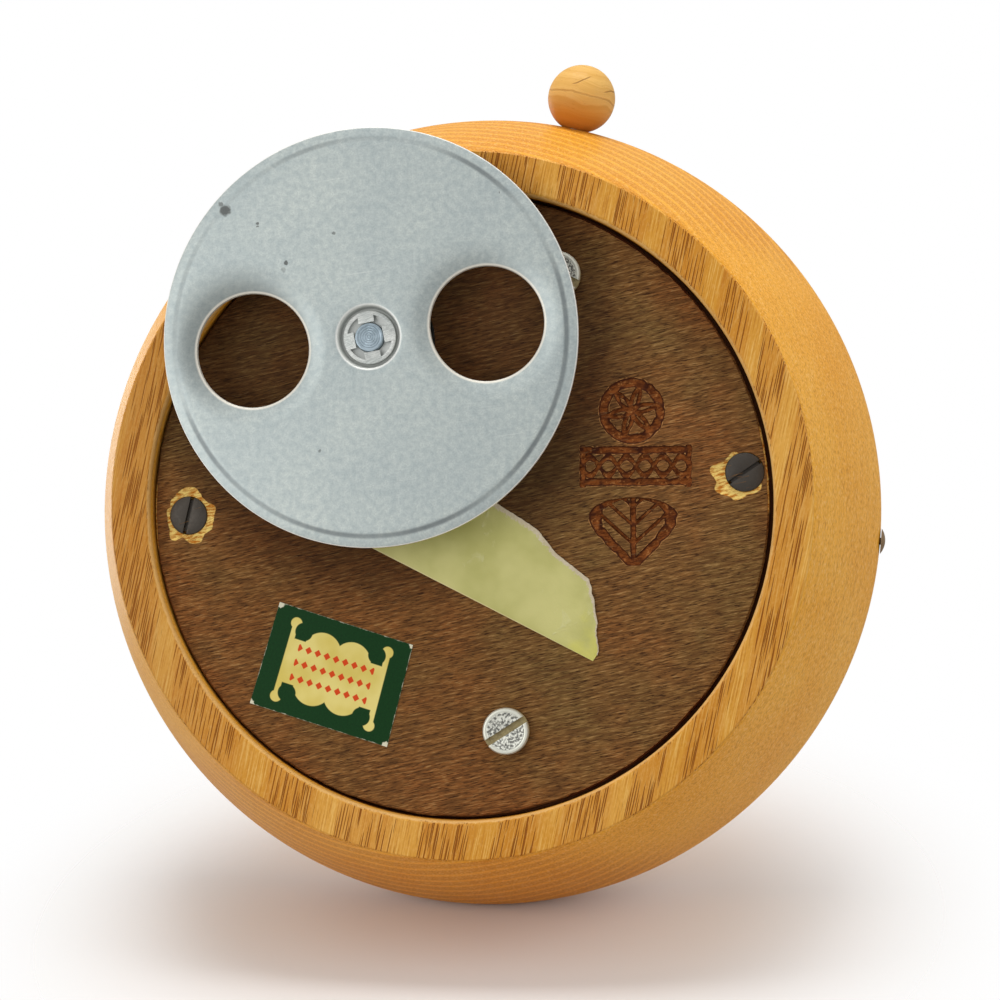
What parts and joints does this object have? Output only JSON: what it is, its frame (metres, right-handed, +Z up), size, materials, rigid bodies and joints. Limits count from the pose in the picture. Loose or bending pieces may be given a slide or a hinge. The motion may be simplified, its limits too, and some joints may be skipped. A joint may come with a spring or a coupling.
{
  "type": "disc-wound wooden music box with pull knob",
  "caption": "Round turned-wood music box that stands on an off-centre sheet-metal winding disc and revolves as its pinned cylinder plays; a ball knob at the side starts and stops it.",
  "frame": {"origin": "on the wooden body's axis of turning, at the level of the table, on the flat face of the winding disc that the box stands on", "axes": "+Z up out of the wooden top; +Y from the axis towards the side whose rim the winding disc overhangs, about 12 degrees from the ball knob; +X completes a right-handed frame, towards the side where the disc is off centre"},
  "size_m": [0.1385, 0.1475, 0.047],
  "materials": {
    "honey_wood": "turned ring-porous hardwood, honey-orange satin varnish, pores and darker end grain showing",
    "dark_plywood": "dark stained, rough sawn plywood with fuzzy grain",
    "zinc_sheet": "zinc-plated sheet steel, cool grey, faintly mottled and speckled",
    "dark_steel": "blackened and slightly rusted steel",
    "bright_steel": "plain turned steel, semi-bright",
    "blue_steel": "hardened spring steel, blue-grey",
    "brass": "plain machined brass",
    "cast_zinc": "grey casting, unpainted",
    "rusty_iron": "rusted brown-grey iron"
  },
  "bodies": {
    "box": {"body_shell": "honey_wood", "base_plate": "dark_plywood", "wall_tack": "rusty_iron", "cover_screw_left": "dark_steel", "cover_screw_right": "dark_steel", "movement_screw_far": "bright_steel", "movement_screw_near": "bright_steel", "movement_screw_side": "bright_steel", "bedplate": "cast_zinc", "near_bracket": "brass", "far_bracket": "brass", "bracket_screw_1": "bright_steel", "bracket_screw_2": "bright_steel", "bracket_screw_3": "bright_steel", "bracket_screw_4": "bright_steel", "comb": "bright_steel", "comb_bed": "cast_zinc", "comb_bar": "brass", "comb_screw_1": "blue_steel", "comb_screw_2": "blue_steel", "comb_screw_3": "blue_steel", "governor_frame": "cast_zinc", "governor_screw_1": "bright_steel", "governor_screw_2": "bright_steel", "spring_barrel": "brass", "mainspring": "blue_steel"},
    "great_wheel": {"great_wheel": "brass", "click_rivet": "bright_steel"},
    "click": {"click_spring": "blue_steel"},
    "winder": {"winding_disc": "zinc_sheet", "grip_washer": "bright_steel", "winding_shaft": "bright_steel", "ratchet_wheel": "bright_steel", "shaft_clip": "blue_steel"},
    "cylinder": {"pinned_cylinder": "brass", "cylinder_arbor": "bright_steel", "crown_pinion": "bright_steel", "cylinder_wheel": "brass"},
    "governor": {"governor_pinion": "bright_steel", "worm_wheel": "brass"},
    "fly": {"worm_shaft": "bright_steel", "air_fly": "brass"},
    "knob": {"ball_knob": "honey_wood", "knob_rod": "bright_steel", "stop_ring": "bright_steel", "stop_wire": "bright_steel"}
  },
  "joints": [
    {"name": "cylinder_spin", "type": "hinge", "parent": "box", "child": "cylinder", "pos_m": [0.01639, 0.00186, 0.02521], "axis": [-0.113, 0.9936, 0], "continuous": true},
    {"name": "great_wheel_spin", "type": "hinge", "parent": "box", "child": "great_wheel", "pos_m": [0.01353, 0.027, 0.029], "axis": [0, 0, 1], "continuous": true},
    {"name": "governor_spin", "type": "hinge", "parent": "box", "child": "governor", "pos_m": [0.00447, 0.00051, 0.02521], "axis": [-0.113, 0.9936, 0], "continuous": true},
    {"name": "fly_spin", "type": "hinge", "parent": "box", "child": "fly", "pos_m": [-0.0028, 0.01297, 0.032], "axis": [0, 0, 1], "continuous": true},
    {"name": "wind_spin", "type": "hinge", "parent": "great_wheel", "child": "winder", "pos_m": [0.01353, 0.027, 0.001], "axis": [0, 0, 1], "continuous": true},
    {"name": "click_flex", "type": "hinge", "parent": "great_wheel", "child": "click", "pos_m": [0.0223, 0.028, 0.0305], "axis": [0, 0, -1], "range_deg": [0, 8]},
    {"name": "knob_pull", "type": "slide", "parent": "box", "child": "knob", "axis": [-0.2317, 0.9728, 0], "range_m": [0, 0.0035]}
  ],
  "couplings": [
    {"joint": "great_wheel_spin", "follows": "cylinder_spin", "ratio": 0.25},
    {"joint": "governor_spin", "follows": "cylinder_spin", "ratio": -4},
    {"joint": "fly_spin", "follows": "cylinder_spin", "ratio": 96}
  ]
}
